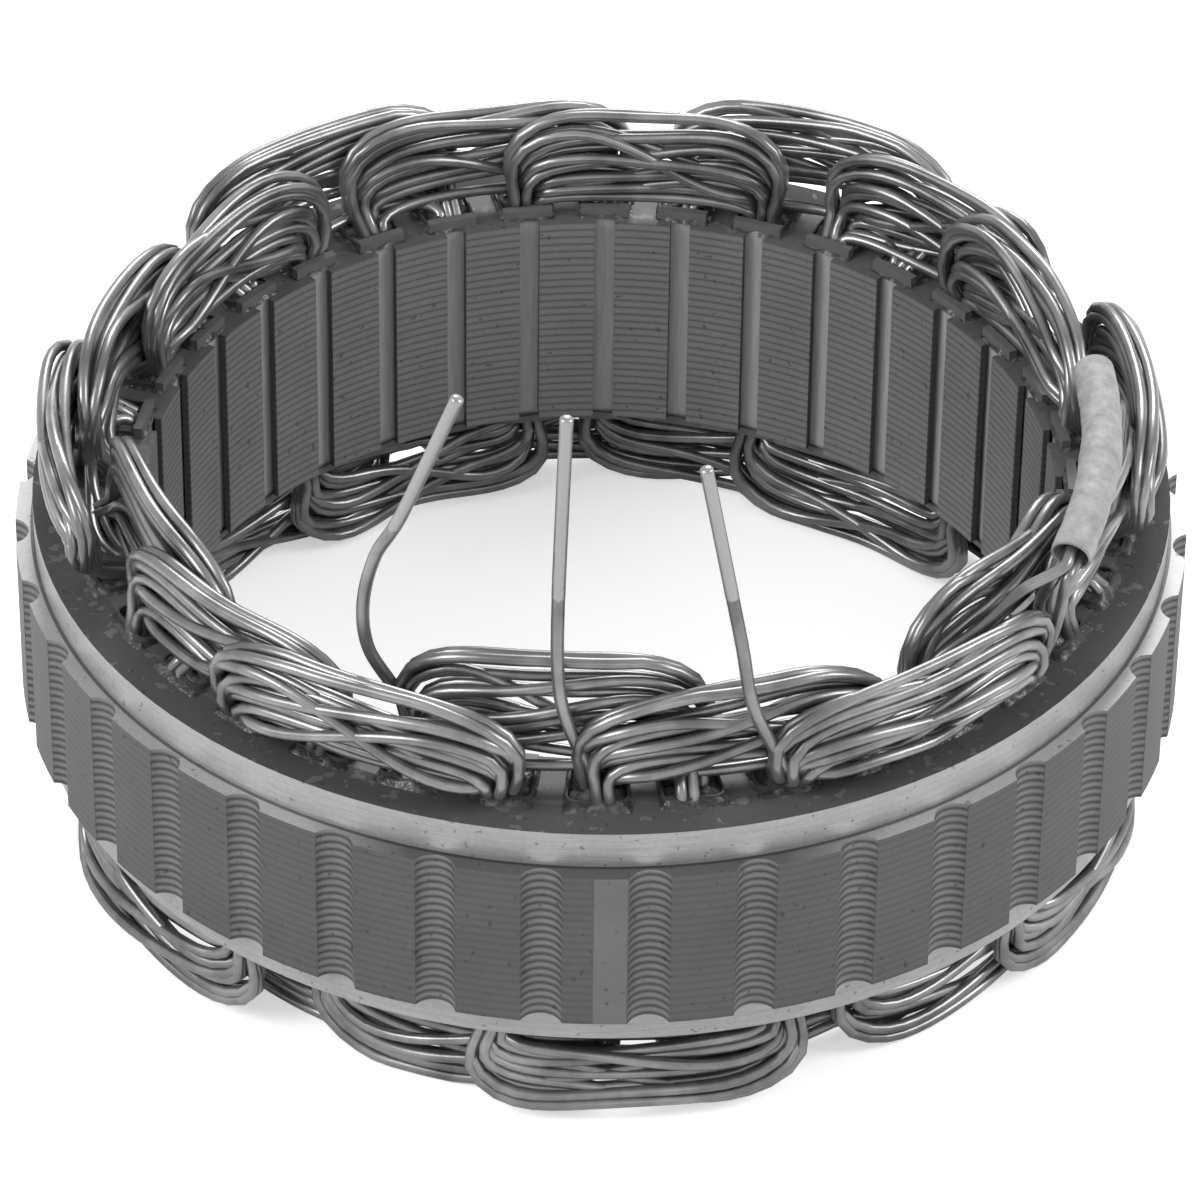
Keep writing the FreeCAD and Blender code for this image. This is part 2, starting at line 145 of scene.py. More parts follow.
def stackMaterial():
    # Cold-rolled electrical steel, punched, pressed and turned at the registers:
    # sheet edges show as fine lines, turned bands are bright, end faces keep a dark coat.
    finish = {
        "land": "#565656", "landRough": 0.5, "seam": "#303030", "bareMetal": 0.5,
        # colour and roughness of what lies over the lands, in this order
        "layers": {
            # painted highlight: the flutes' lighter layer stands for each sheet's edge catching the
            # light between the dark seams
            "flute": ("#7c7c7c", 0.5), "turned": ("#a0a0a0", 0.4), "bore": ("#828282", 0.48),
            "toothEnd": ("#505050", 0.5), "coat": ("#414141", 0.75), "shoulder": ("#5c5c5c", 0.5),
            # painted highlight: the shoulder's lighter layer towards the sides stands for the side
            # lamps' light
            "sideHighlight": ("#a2a2a2", 0.42), "weld": ("#676767", 0.42), "lacquer": ("#6a6a6a", 0.4),
        },
        "blotchSize": 9 * mm, "pitSize": 0.9 * mm, "scratchSize": 0.12 * mm,
        "blobSize": 1.7 * mm, "grainSize": 0.5 * mm,
        "scratchStretch": (0.04, 0.04, 1.0),     # long round the stack, thin up and down
        "value": 0.84, "blotchShare": 0.32, "grainShare": 0.22, "scoreShare": 0.5,
        "pitsAbove": 0.72, "pitShare": 0.4, "dropsAbove": 0.63, "dropCover": 0.5,
        # the last share is how dark the painted shadow line at the shoulder's root is
        "landSeam": 0.34, "fluteSeam": 0.9, "boreSeam": 0.6, "rootShadowShare": 0.75,
        "turnedMute": 0.8,                       # share of the seams that turning wiped away
        "seamSharp": 3, "seamWide": 1.3,         # powers of the place across a sheet's edge
        "edgeMargin": 0.02 * mm, "wallMargin": 0.3 * mm, "landMargin": 0.06 * mm,
        # the last width is that of the painted shadow line at the shoulder's root
        "boreMargin": 0.15 * mm, "rimMargin": 0.5 * mm, "rootShadowWidth": 0.4 * mm,
        # the last two set where the shoulder's painted highlight begins to the sides and how far it
        # grows
        "weldFrom": -0.2 * mm, "weldTo": 3.4 * mm, "sideHighlightFrom": 20 * mm, "sideHighlightOver": 12 * mm,
        "scratchRelief": 0.12, "bump": 0.5, "bumpDepth": 0.12 * mm,
    }
    material, tree, shader = newMaterial("turnedElectricalSteel")
    where = addNode(tree, "ShaderNodeTexCoord").outputs["Object"]
    axes = addNode(tree, "ShaderNodeSeparateXYZ", inputs={0: where}).outputs
    flat = addNode(tree, "ShaderNodeCombineXYZ", inputs={0: axes[0], 1: axes[1]})
    radius = addNode(tree, "ShaderNodeVectorMath", {"operation": "LENGTH"},
                     {0: flat.outputs[0]}).outputs["Value"]
    normal = addNode(tree, "ShaderNodeNewGeometry").outputs["Normal"]
    facing = addNode(tree, "ShaderNodeSeparateXYZ", inputs={0: normal}).outputs[2]
    stretch = addNode(tree, "ShaderNodeMapping", inputs={
        0: where, 3: finish["scratchStretch"]}).outputs[0]
    made = {"x": axes[0], "y": axes[1], "z": axes[2], "radius": radius, "facing": facing}
    # each pattern: where it is read, its size and its detail
    patterns = {"blotch": (where, finish["blotchSize"], 4.0), "pit": (where, finish["pitSize"], 1.0),
                "scratch": (stretch, finish["scratchSize"], 2.0),
                "blob": (where, finish["blobSize"], 3.0), "grain": (where, finish["grainSize"], 2.0)}
    for name, (place, size, detail) in patterns.items():
        made[name] = addNode(tree, "ShaderNodeTexNoise", inputs={
            "Vector": place, "Scale": 1 / size, "Detail": detail}).outputs[0]
    upperEdge = stackTop - stackBase - stack["upperRegister"]
    outside = stack["registerRadius"]
    sums = [  # each entry: name, operation, first, second
        ("tilt", "ABSOLUTE", "facing", 0), ("endFace", "GREATER_THAN", "tilt", 0.7),
        ("side", "SUBTRACT", 1, "endFace"), ("height", "SUBTRACT", "z", stackBase),
        # place across one sheet's edge: 0 in its middle, 1 at the seams
        ("sheet", "DIVIDE", "height", (stackTop - stackBase) / stack["sheetCount"]),
        ("part", "FRACT", "sheet", 0), ("off", "SUBTRACT", "part", 0.5),
        ("offSize", "ABSOLUTE", "off", 0), ("edge", "MULTIPLY", "offSize", 2),
        ("sharp", "POWER", "edge", finish["seamSharp"]), ("wide", "POWER", "edge", finish["seamWide"]),
        # turned bands, flutes, bore, end coat and the strip of weld on the front land
        ("upper", "GREATER_THAN", "height", upperEdge + finish["edgeMargin"]),
        ("lower", "LESS_THAN", "height", stack["lowerRegister"] - finish["edgeMargin"]),
        ("band", "MAXIMUM", "upper", "lower"), ("between", "SUBTRACT", 1, "band"),
        ("beyond", "GREATER_THAN", "radius", outside - finish["wallMargin"]),
        ("turned", "MULTIPLY", "band", "beyond"), ("turned", "MULTIPLY", "turned", "side"),
        ("within", "LESS_THAN", "radius", landRadius - finish["landMargin"]),
        ("flute", "MULTIPLY", "within", "beyond"), ("flute", "MULTIPLY", "flute", "between"),
        ("flute", "MULTIPLY", "flute", "side"),
        ("near", "LESS_THAN", "radius", stack["boreRadius"] + finish["boreMargin"]),
        ("bore", "MULTIPLY", "near", "side"),
        ("rim", "GREATER_THAN", "radius", stack["slotFloorRadius"] - finish["rimMargin"]),
        ("coat", "MULTIPLY", "endFace", "rim"), ("toothEnd", "SUBTRACT", "endFace", "coat"),
        ("step", "GREATER_THAN", "radius", outside + finish["edgeMargin"]),
        ("shoulder", "MULTIPLY", "step", "endFace"),
        # painted shadow: a dark line on the shoulder where it meets the turned register wall
        ("root", "LESS_THAN", "radius", outside + finish["rootShadowWidth"]),
        ("rootShadowLine", "MULTIPLY", "root", "shoulder"),
        # painted highlight: the shoulder is painted lighter away from the front and back, where the
        # side lamps catch it
        ("aside", "ABSOLUTE", "x", 0), ("aside", "SUBTRACT", "aside", finish["sideHighlightFrom"]),
        ("aside", "DIVIDE", "aside", finish["sideHighlightOver"]), ("aside", "MAXIMUM", "aside", 0),
        ("aside", "MINIMUM", "aside", 1), ("sideHighlight", "MULTIPLY", "aside", "shoulder"),
        ("weldRight", "LESS_THAN", "x", finish["weldTo"]),
        ("weldLeft", "GREATER_THAN", "x", finish["weldFrom"]),
        ("front", "LESS_THAN", "y", 0), ("weld", "MULTIPLY", "weldRight", "weldLeft"),
        ("weld", "MULTIPLY", "weld", "front"), ("weld", "MULTIPLY", "weld", "between"),
        ("weld", "MULTIPLY", "weld", "beyond"), ("weld", "MULTIPLY", "weld", "side"),
        # lacquer lies in drops on the coated end faces
        ("drops", "GREATER_THAN", "blob", finish["dropsAbove"]),
        ("dropFace", "SUBTRACT", "endFace", "shoulder"), ("lacquer", "MULTIPLY", "drops", "dropFace"),
        ("lacquer", "MULTIPLY", "lacquer", finish["dropCover"]),
        # seams: deep in the flutes, clear in the bore, faint on lands and turned bands
        ("fine", "MULTIPLY", "sharp", finish["landSeam"]),
        ("bold", "MULTIPLY", "wide", finish["fluteSeam"]),
        ("ruled", "MULTIPLY", "sharp", finish["boreSeam"]), ("bold", "MULTIPLY", "bold", "flute"),
        ("ruled", "MULTIPLY", "ruled", "bore"), ("mute", "MULTIPLY", "turned", finish["turnedMute"]),
        ("mute", "ADD", "mute", "weld"), ("mute", "MINIMUM", "mute", 1),
        ("open", "SUBTRACT", 1, "mute"), ("fine", "MULTIPLY", "fine", "open"),
        ("fine", "MULTIPLY", "fine", "side"), ("seam", "MAXIMUM", "fine", "bold"),
        ("seam", "MAXIMUM", "seam", "ruled"),
        # the painted shadow line at the shoulder's root joins the seams
        ("rootShadowDepth", "MULTIPLY", "rootShadowLine", finish["rootShadowShare"]),
        ("seamOrRootShadow", "MAXIMUM", "seam", "rootShadowDepth"),
        # value = base + shares of blotch, grain and, on turned bands, scratches, less the pits
        ("pitMask", "GREATER_THAN", "pit", finish["pitsAbove"]),
        ("pitDepth", "MULTIPLY", "pitMask", finish["pitShare"]),
        ("value", "MULTIPLY_ADD", "blotch", finish["blotchShare"]),
        ("grainPart", "SUBTRACT", "grain", 0.5),
        ("grainPart", "MULTIPLY", "grainPart", finish["grainShare"]),
        ("value", "ADD", "value", "grainPart"),
        ("score", "SUBTRACT", "scratch", 0.5), ("score", "MULTIPLY", "score", "turned"),
        ("score", "MULTIPLY", "score", finish["scoreShare"]), ("value", "ADD", "value", "score"),
        ("value", "SUBTRACT", "value", "pitDepth"),
        # relief = share of the scratches, less seams and pits
        ("relief", "MULTIPLY", "scratch", finish["scratchRelief"]),
        ("relief", "SUBTRACT", "relief", "seam"), ("relief", "SUBTRACT", "relief", "pitDepth"),
    ]
    for name, operation, first, second in sums:
        # the third input counts in MULTIPLY_ADD alone, which starts the value
        made[name] = addNode(tree, "ShaderNodeMath", {"operation": operation}, {
            0: made.get(first, first), 1: made.get(second, second), 2: finish["value"]}).outputs[0]

    colour = hexColour(finish["land"])
    rough = finish["landRough"]
    for name, (shade, roughness) in finish["layers"].items():
        colour = addNode(tree, "ShaderNodeMix", {"data_type": "RGBA"}, {
            0: made[name], 6: colour, 7: hexColour(shade)}).outputs[2]
        rough = addNode(tree, "ShaderNodeMix", {"data_type": "FLOAT"}, {
            0: made[name], 2: rough, 3: roughness}).outputs[0]
    # seams and the painted shadow line at the shoulder's root take the seam colour
    colour = addNode(tree, "ShaderNodeMix", {"data_type": "RGBA"}, {
        0: made["seamOrRootShadow"], 6: colour, 7: hexColour(finish["seam"])}).outputs[2]
    tone = addNode(tree, "ShaderNodeHueSaturation", inputs={
        "Value": made["value"], "Color": colour})
    bump = addNode(tree, "ShaderNodeBump", inputs={
        "Height": made["relief"], "Strength": finish["bump"], "Distance": finish["bumpDepth"]})
    tree.links.new(tone.outputs[0], shader.inputs["Base Color"])
    tree.links.new(rough, shader.inputs["Roughness"])
    tree.links.new(bump.outputs[0], shader.inputs["Normal"])
    # the coated faces don't shine as bare metal
    metal = addNode(tree, "ShaderNodeMapRange", inputs={
        0: made["dropFace"], 3: finish["bareMetal"], 4: 0.0})
    tree.links.new(metal.outputs[0], shader.inputs["Metallic"])
    return material


def enamelMaterial():
    # Copper wire under polyester-imide enamel: a smooth clear coat over dull metal,
    # with slow changes of tone along each wire.
    finish = {"light": "#969696", "dark": "#686868", "toneLength": 7 * mm,
              "darkBelow": 0.35, "lightAbove": 0.65}
    material, tree, shader = newMaterial("enamelledCopperWire")
    where = addNode(tree, "ShaderNodeTexCoord").outputs["Object"]
    tones = addNode(tree, "ShaderNodeTexNoise", inputs={
        "Vector": where, "Scale": 1 / finish["toneLength"], "Detail": 3.0}).outputs[0]
    spread = addNode(tree, "ShaderNodeMapRange", inputs={
        0: tones, 1: finish["darkBelow"], 2: finish["lightAbove"]}).outputs[0]
    colour = addNode(tree, "ShaderNodeMix", {"data_type": "RGBA"}, {
        0: spread, 6: hexColour(finish["dark"]), 7: hexColour(finish["light"])}).outputs[2]
    tree.links.new(colour, shader.inputs["Base Color"])
    shader.inputs["Metallic"].default_value = 0.75
    shader.inputs["Roughness"].default_value = 0.32
    shader.inputs["Coat Weight"].default_value = 0.4
    shader.inputs["Coat Roughness"].default_value = 0.2
    return material


def tinnedMaterial():
    # Copper dipped in solder: bright, slightly lumpy metal.
    finish = {"colour": "#a2a2a2", "lumpSize": 0.8 * mm, "lumpDepth": 0.12 * mm}
    material, tree, shader = newMaterial("tinnedCopper")
    where = addNode(tree, "ShaderNodeTexCoord").outputs["Object"]
    lumps = addNode(tree, "ShaderNodeTexNoise", inputs={
        "Vector": where, "Scale": 1 / finish["lumpSize"], "Detail": 2.0}).outputs[0]
    bump = addNode(tree, "ShaderNodeBump", inputs={
        "Height": lumps, "Strength": 0.5, "Distance": finish["lumpDepth"]})
    tree.links.new(bump.outputs[0], shader.inputs["Normal"])
    shader.inputs["Base Color"].default_value = hexColour(finish["colour"])
    shader.inputs["Metallic"].default_value = 0.9
    shader.inputs["Roughness"].default_value = 0.36
    return material


def wedgeMaterial():
    # Glass-filled laminate strip with grain along its length; its cut ends are dark with varnish.
    finish = {"dark": "#8c8c8c", "light": "#b0b0b0", "end": "#5e5e5e", "grainSize": 0.35 * mm,
              "grainStretch": (1.0, 1.0, 0.06), "endBelow": 0.3 * mm, "endAbove": 0.2 * mm}
    halfHeight = (stackTop - stackBase) / 2
    material, tree, shader = newMaterial("glassLaminateStrip")
    where = addNode(tree, "ShaderNodeTexCoord").outputs["Object"]
    stretch = addNode(tree, "ShaderNodeMapping", inputs={
        0: where, 3: finish["grainStretch"]}).outputs[0]
    grain = addNode(tree, "ShaderNodeTexNoise", inputs={
        "Vector": stretch, "Scale": 1 / finish["grainSize"], "Detail": 3.0}).outputs[0]
    strip = addNode(tree, "ShaderNodeMix", {"data_type": "RGBA"}, {
        0: grain, 6: hexColour(finish["dark"]), 7: hexColour(finish["light"])}).outputs[2]
    height = addNode(tree, "ShaderNodeSeparateXYZ", inputs={0: where}).outputs[2]
    offset = addNode(tree, "ShaderNodeMath", {"operation": "SUBTRACT"}, {
        0: height, 1: (stackTop + stackBase) / 2}).outputs[0]
    reach = addNode(tree, "ShaderNodeMath", {"operation": "ABSOLUTE"}, {0: offset}).outputs[0]
    cutEnd = addNode(tree, "ShaderNodeMapRange", inputs={
        0: reach, 1: halfHeight - finish["endBelow"], 2: halfHeight + finish["endAbove"]})
    colour = addNode(tree, "ShaderNodeMix", {"data_type": "RGBA"}, {
        0: cutEnd.outputs[0], 6: strip, 7: hexColour(finish["end"])}).outputs[2]
    tree.links.new(colour, shader.inputs["Base Color"])
    shader.inputs["Roughness"].default_value = 0.42
    return material


def linerMaterial():
    # Aramid paper soaked in dark varnish: mottled, faintly glossy.
    finish = {"dark": "#2b2b2b", "light": "#484848", "mottleSize": 1.2 * mm}
    material, tree, shader = newMaterial("aramidPaper")
    where = addNode(tree, "ShaderNodeTexCoord").outputs["Object"]
    mottle = addNode(tree, "ShaderNodeTexNoise", inputs={
        "Vector": where, "Scale": 1 / finish["mottleSize"], "Detail": 4.0}).outputs[0]
    colour = addNode(tree, "ShaderNodeMix", {"data_type": "RGBA"}, {
        0: mottle, 6: hexColour(finish["dark"]), 7: hexColour(finish["light"])}).outputs[2]
    tree.links.new(colour, shader.inputs["Base Color"])
    shader.inputs["Roughness"].default_value = 0.5
    return material


def varnishMaterial():
    # Impregnating varnish set in drops and runs over the slot ends: dark, glossy, uneven.
    finish = {"dark": "#303030", "light": "#5c5c5c", "dropSize": 1.1 * mm, "dropDepth": 0.5 * mm,
              "darkBelow": 0.5, "lightAbove": 0.7}
    material, tree, shader = newMaterial("impregnatingVarnish")
    where = addNode(tree, "ShaderNodeTexCoord").outputs["Object"]
    drops = addNode(tree, "ShaderNodeTexNoise", inputs={
        "Vector": where, "Scale": 1 / finish["dropSize"], "Detail": 3.0}).outputs[0]
    spread = addNode(tree, "ShaderNodeMapRange", inputs={
        0: drops, 1: finish["darkBelow"], 2: finish["lightAbove"]}).outputs[0]
    colour = addNode(tree, "ShaderNodeMix", {"data_type": "RGBA"}, {
        0: spread, 6: hexColour(finish["dark"]), 7: hexColour(finish["light"])}).outputs[2]
    bump = addNode(tree, "ShaderNodeBump", inputs={
        "Height": drops, "Strength": 0.7, "Distance": finish["dropDepth"]})
    tree.links.new(colour, shader.inputs["Base Color"])
    tree.links.new(bump.outputs[0], shader.inputs["Normal"])
    shader.inputs["Roughness"].default_value = 0.3
    return material


def sleeveMaterial():
    # Braided glass-fibre tube with a thin varnish: two sets of yarns cross at an angle.
    # Tone = share of the weave + streaks, spread between dark and light.
    braid = {"dark": "#787878", "light": "#a8a8a8", "yarnsAround": 42, "yarnsAlong": 104,
             "streakSize": 1.6 * mm, "weaveShare": 0.25, "darkBelow": 0.35, "lightAbove": 0.85,
             "yarnDepth": 0.12 * mm}
    material, tree, shader = newMaterial("braidedGlassSleeve")
    place = addNode(tree, "ShaderNodeUVMap").outputs[0]
    across = addNode(tree, "ShaderNodeSeparateXYZ", inputs={0: place}).outputs
    waves = []
    for sign in (1, -1):
        turn = addNode(tree, "ShaderNodeMath", {"operation": "MULTIPLY"},
                       {0: across[0], 1: braid["yarnsAround"] * math.pi}).outputs[0]
        run = addNode(tree, "ShaderNodeMath", {"operation": "MULTIPLY_ADD"},
                      {0: across[1], 1: sign * braid["yarnsAlong"] * math.pi, 2: turn}).outputs[0]
        wave = addNode(tree, "ShaderNodeMath", {"operation": "SINE"}, {0: run}).outputs[0]
        waves.append(addNode(tree, "ShaderNodeMath", {"operation": "ABSOLUTE"}, {0: wave}).outputs[0])
    weave = addNode(tree, "ShaderNodeMath", {"operation": "MULTIPLY"},
                    {0: waves[0], 1: waves[1]}).outputs[0]
    where = addNode(tree, "ShaderNodeTexCoord").outputs["Object"]
    streaks = addNode(tree, "ShaderNodeTexNoise", inputs={
        "Vector": where, "Scale": 1 / braid["streakSize"], "Detail": 5.0, "Roughness": 0.65}).outputs[0]
    shade = addNode(tree, "ShaderNodeMath", {"operation": "MULTIPLY_ADD"}, {
        0: weave, 1: braid["weaveShare"], 2: streaks}).outputs[0]
    spread = addNode(tree, "ShaderNodeMapRange", inputs={
        0: shade, 1: braid["darkBelow"], 2: braid["lightAbove"]}).outputs[0]
    colour = addNode(tree, "ShaderNodeMix", {"data_type": "RGBA"}, {
        0: spread, 6: hexColour(braid["dark"]), 7: hexColour(braid["light"])}).outputs[2]
    bump = addNode(tree, "ShaderNodeBump", inputs={
        "Height": weave, "Strength": 0.35, "Distance": braid["yarnDepth"]})
    tree.links.new(colour, shader.inputs["Base Color"])
    tree.links.new(bump.outputs[0], shader.inputs["Normal"])
    shader.inputs["Roughness"].default_value = 0.55
    return material


def gridFaces(runs, points, sides, closed):
    # Quads of tubes laid one after another: ring p joins ring p + 1, side s joins side s + 1
    rings = points if closed else points - 1
    run, ring, side = np.meshgrid(np.arange(runs), np.arange(rings), np.arange(sides), indexing="ij")
    first = (run * points + ring) * sides
    second = (run * points + (ring + 1) % points) * sides
    beside = (side + 1) % sides
    return np.stack([first + side, second + side, second + beside, first + beside], -1).reshape(-1, 4)


def makePiece(name, points, faces, material, uv=None):
    # A mesh of quads from whole arrays, riding on the one body
    mesh = bpy.data.meshes.new(name)
    mesh.vertices.add(len(points))
    mesh.vertices.foreach_set("co", points.astype(np.float32).ravel())
    mesh.loops.add(faces.size)
    mesh.loops.foreach_set("vertex_index", faces.astype(np.int32).ravel())
    mesh.polygons.add(len(faces))
    mesh.polygons.foreach_set("loop_start", np.arange(0, faces.size, 4, dtype=np.int32))
    mesh.update(calc_edges=True)
    if uv is not None:
        layer = mesh.uv_layers.new(name="UVMap")
        layer.data.foreach_set("uv", uv.astype(np.float32).ravel())
    mesh.shade_smooth()
    mesh.materials.append(material)
    piece = bpy.data.objects.new(name, mesh)
    bpy.context.scene.collection.objects.link(piece)
    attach(piece, "root")
    return piece


def unit(vectors):
    # v / |v|
    return vectors / np.linalg.norm(vectors, axis=-1, keepdims=True)


def tubePoints(paths, radius, sides, guide, closed):
    # p + r (cos a * n + sin a * b), with n the guide made square to the path and b = t x n
    if closed:
        along = unit(np.roll(paths, -1, 1) - np.roll(paths, 1, 1))
    else:
        along = unit(np.gradient(paths, axis=1))
    across = unit(guide - along * (guide * along).sum(-1, keepdims=True))
    over = np.cross(along, across)
    turn = np.linspace(0, 2 * np.pi, sides, endpoint=False)
    ring = (across[:, :, None] * np.cos(turn)[:, None] + over[:, :, None] * np.sin(turn)[:, None])
    return paths[:, :, None] + ring * np.asarray(radius)[..., None, None]


def spot(angle, radius, height):
    # angle in degrees from the front, -Y, towards +X
    turn = np.radians(angle)
    return np.stack([radius * np.sin(turn), -radius * np.cos(turn), height + 0 * turn], -1)


def turnProfile(roundness, count):
    # |u| ** n + |z| ** n = 1, walked in equal steps from one leg to the other
    fineSteps = 400
    sweep = np.linspace(0, np.pi, fineSteps)
    u = -np.sign(np.cos(sweep)) * np.abs(np.cos(sweep)) ** (2 / roundness)
    z = np.abs(np.sin(sweep)) ** (2 / roundness)
    length = np.concatenate([[0], np.cumsum(np.hypot(np.diff(u), wire["heightShare"] * np.diff(z)))])
    steps = np.linspace(0, length[-1], count)
    return np.interp(steps, length, u), np.interp(steps, length, z)


def crossedRows(random):
    # The row of each wire at a turn's far leg: some wires climb or fall over their neighbours
    order = list(range(wire["rows"]))
    crossing = np.zeros(wire["rows"])
    for jump in random.choice(wire["jumps"], wire["crossings"]):
        start = int(random.integers(max(0, -jump), wire["rows"] - max(0, jump)))
        moved = order.pop(start)
        order.insert(start + jump, moved)
        crossing[moved] = 1
    farRow = np.empty(wire["rows"])
    farRow[order] = np.arange(wire["rows"])
    return farRow, crossing


def rowHeights(random, reach):
    # Wires never closer than a diameter, with the room left over shared out unevenly
    gaps = random.random(wire["rows"] + 1) ** 2
    room = reach - wire["lowest"] - wire["rows"] * 2 * wire["radius"]
    loose = np.cumsum(gaps)[:-1] / gaps.sum() * room
    return wire["lowest"] + loose + wire["radius"] * (2 * np.arange(wire["rows"]) + 1)


def windingPaths(phase):
    # Each wire is one closed wave: an upper end turn, down a slot, a lower one, up a slot.
    # Angle = middle of the turn + distance across / band radius. The radius goes from the wire's
    # place in the slot, through a packed place above it, to its column in the band.
    # Height = leg start + profile * (height of the row - leg start) + looseness.
    random = np.random.default_rng(phase["seed"])
    span = stack["turnSlots"] * stack["slotPitch"]
    halfSpan = phase["band"] * math.radians(span / 2)
    count = wire["turnPoints"]
    rows = wire["rows"]
    arch = np.sin(np.linspace(0, np.pi, count))
    deepest = wire["slotDeep"] * wire["columns"] - 1
    paths = [[] for each in range(rows * wire["columns"])]
    for turn in range(stack["slots"] // stack["turnSlots"]):
        up = turn % 2 == 0
        middle = (phase["firstSlot"] + stack["turnSlots"] * turn) * stack["slotPitch"] + span / 2
        reach = (phase["rise"] if up else phase["drop"]) + phase["lifted"].get(middle, 0)
        lean = random.normal(0, wire["lean"])
        u, z = turnProfile(random.uniform(*wire["roundness"]), count)
        sag = np.sin(np.linspace(0, np.pi * random.uniform(*wire["sagWaves"]), count)
                     + random.uniform(*wire["waveStart"]))
        for column in range(wire["columns"]):
            heights = rowHeights(random, reach)
            farRow, crossing = crossedRows(random)
            for row in range(rows):
                near, far = heights[row], heights[int(farRow[row])]
                change = np.sin(np.clip(u * wire["crossPace"], -1, 1) * np.pi / 2)
                top = (near + far) / 2 + (far - near) / 2 * change
                ends = np.where(u < 0, row, farRow[row])
                leg = np.floor(ends * wire["slotAcross"] / rows) - (wire["slotAcross"] - 1) / 2
                place = ends % wire["slotDeep"] * wire["columns"] + column
                slotRadius = wire["slotInner"] + wire["slotStep"] * place
                packed = phase["band"] + wire["packStep"] * (place - deepest / 2)
                band = phase["band"] + (column - 0.5) * 2 * wire["radius"]
                drift = np.sin(np.linspace(0, np.pi * random.uniform(*wire["looseWaves"]), count)
                               + random.uniform(*wire["waveStart"]))
                level = wire["legStart"] + z * (top - wire["legStart"])
                level = level + arch * (drift * wire["looseUp"] + sag * wire["sag"] * near / reach)
                level = np.minimum(level, reach - wire["radius"])
                swell = np.sin(np.pi * np.clip(z, 0, 1) ** wire["bulgeShape"]) * wire["bulge"]
                swell = swell * (top / reach) ** wire["bulgeGrowth"]
                across = u * (halfSpan + leg * wire["legSpread"] + swell) + arch * lean
                rise = np.clip((level - wire["legStart"]) / wire["leaveOver"], 0, 1)
                rise = rise * rise * (3 - 2 * rise)
                spreadOut = np.clip((z - wire["spreadFrom"]) / wire["spreadOver"], 0, 1)
                radius = packed + (band - packed) * spreadOut
                radius = slotRadius + (radius - slotRadius) * rise
                over = crossing[row] * np.clip(wire["crossFlat"] * (1 - u ** 4), 0, 1) * spreadOut
                radius = radius + phase["crossSides"][column] * phase["crossReach"] * over
                radius = radius + arch * drift * random.normal(0, wire["looseOut"])
                across = np.concatenate([across[:1], across, across[-1:]])
                level = np.concatenate([[-wire["inSlot"]], level, [-wire["inSlot"]]])
                radius = np.concatenate([slotRadius[:1], radius, slotRadius[-1:]])
                height = stackTop + level if up else stackBase - level
                paths[row * wire["columns"] + column].append(
                    spot(middle + np.degrees(across / phase["band"]), radius, height))
    return np.stack([np.concatenate(runs) for runs in paths])


def buildWinding(name, phase, material):
    # Round wires along the paths; the guide points straight out from the bore's axis
    paths = windingPaths(phase)
    guide = unit(paths * [1, 1, 0])
    radius = np.full(paths.shape[:2], wire["radius"])
    points = tubePoints(paths, radius, wire["sides"], guide, True)
    faces = gridFaces(paths.shape[0], paths.shape[1], wire["sides"], True)
    piece = makePiece(name, points.reshape(-1, 3), faces, material)
    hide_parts(name.replace("Winding", "_phase_winding"))
    return piece


varnish = {
    "inner": 52.4 * mm, "outer": 60.9 * mm,
    "halfWidth": 3.3 * mm,       # across the slot at its inner end
    "flare": 0.075,              # extra half width for each unit of radius
    "height": 0.95 * mm, "lumps": 0.9 * mm,
    "sunk": 0.06 * mm,           # how far the mound's rim goes into the steel
    "along": 19, "across": 15,   # points of the grid
    "seed": 3,
}


def buildVarnish(material):
    # A lumpy mound over each slot end: h = (1 - a ** 4) * (1 - b ** 6) * (height + lumps) - sunk
    random = np.random.default_rng(varnish["seed"])
    slots = stack["slots"]
    ends = np.arange(2 * slots)
    a = np.linspace(-1, 1, varnish["across"])
    b = np.linspace(-1, 1, varnish["along"])
    lumps = random.normal(0, 1, (2 * slots, varnish["along"], varnish["across"]))
    for axis in (1, 2):
        lumps = (np.roll(lumps, 1, axis) + 2 * lumps + np.roll(lumps, -1, axis)) / 4
    bell = (1 - a ** 4) * (1 - b[:, None] ** 6)
    height = bell * (varnish["height"] + varnish["lumps"] * lumps) - varnish["sunk"]
    out = varnish["inner"] + (b[:, None] + 1) / 2 * (varnish["outer"] - varnish["inner"])
    wide = varnish["halfWidth"] + varnish["flare"] * (out - varnish["inner"])
    slotAngle = (ends % slots * stack["slotPitch"])[:, None, None]
    angle = slotAngle + np.degrees(a * wide / out)
    upwards = np.where(ends < slots, 1, -1)[:, None, None]
    level = np.where(upwards > 0, stackTop, stackBase) + upwards * height
    points = spot(angle, np.broadcast_to(out, angle.shape), level)
    index = np.arange(points[..., 0].size).reshape(angle.shape)
    quads = np.stack([index[:, :-1, :-1], index[:, :-1, 1:], index[:, 1:, 1:], index[:, 1:, :-1]], -1)
    quads[slots:] = quads[slots:, ..., ::-1]
    piece = makePiece("slotVarnish", points.reshape(-1, 3), quads.reshape(-1, 4), material)
    return piece


